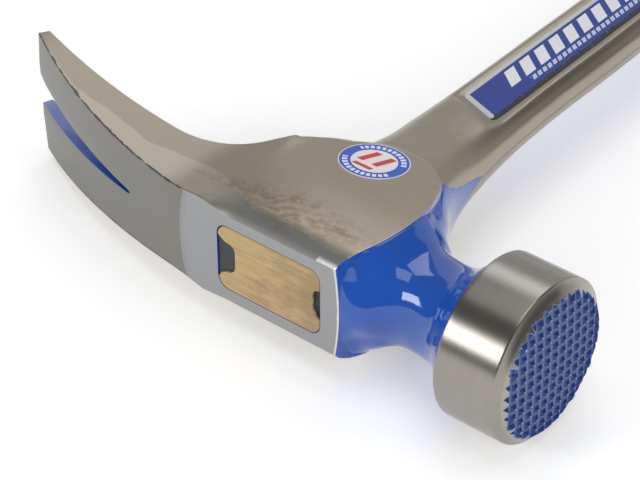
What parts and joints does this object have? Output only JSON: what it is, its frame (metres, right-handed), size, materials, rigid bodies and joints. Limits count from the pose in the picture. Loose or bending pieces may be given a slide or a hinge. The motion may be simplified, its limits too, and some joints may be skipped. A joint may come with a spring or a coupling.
{
  "type": "framing hammer",
  "caption": "Framing hammer with a straight rip claw, milled striking face, wood-filled eye in the flat head top, one-piece steel shank and a slip-on rubber grip.",
  "frame": {"origin": "middle of the eye on the flat top of the head, flush with the wooden plug", "axes": "+X along the head to the striking face, +Y down the handle to the butt, +Z out of the cheek that carries the sticker. The hammer lies on its side, its mid-plane at Z = 0."},
  "size_m": [0.1407, 0.4059, 0.0336],
  "materials": {
    "forged_steel": "belt polished head and flanges, with blue enamel on the neck, throat and shank recesses",
    "hickory": "sanded flush, smudged",
    "black_resin": "poured and cured",
    "label_film": "printed film with a pale border",
    "sticker_paper": "printed paper, blue ring and red number on white",
    "grip_rubber": "moulded matt"
  },
  "bodies": {
    "root": {"hammer_forging": "forged_steel", "wood_plug": "hickory", "resin_key_claw_end": "black_resin", "resin_key_face_end": "black_resin", "shank_label": "label_film", "head_sticker": "sticker_paper", "grip": "grip_rubber"}
  },
  "joints": []
}
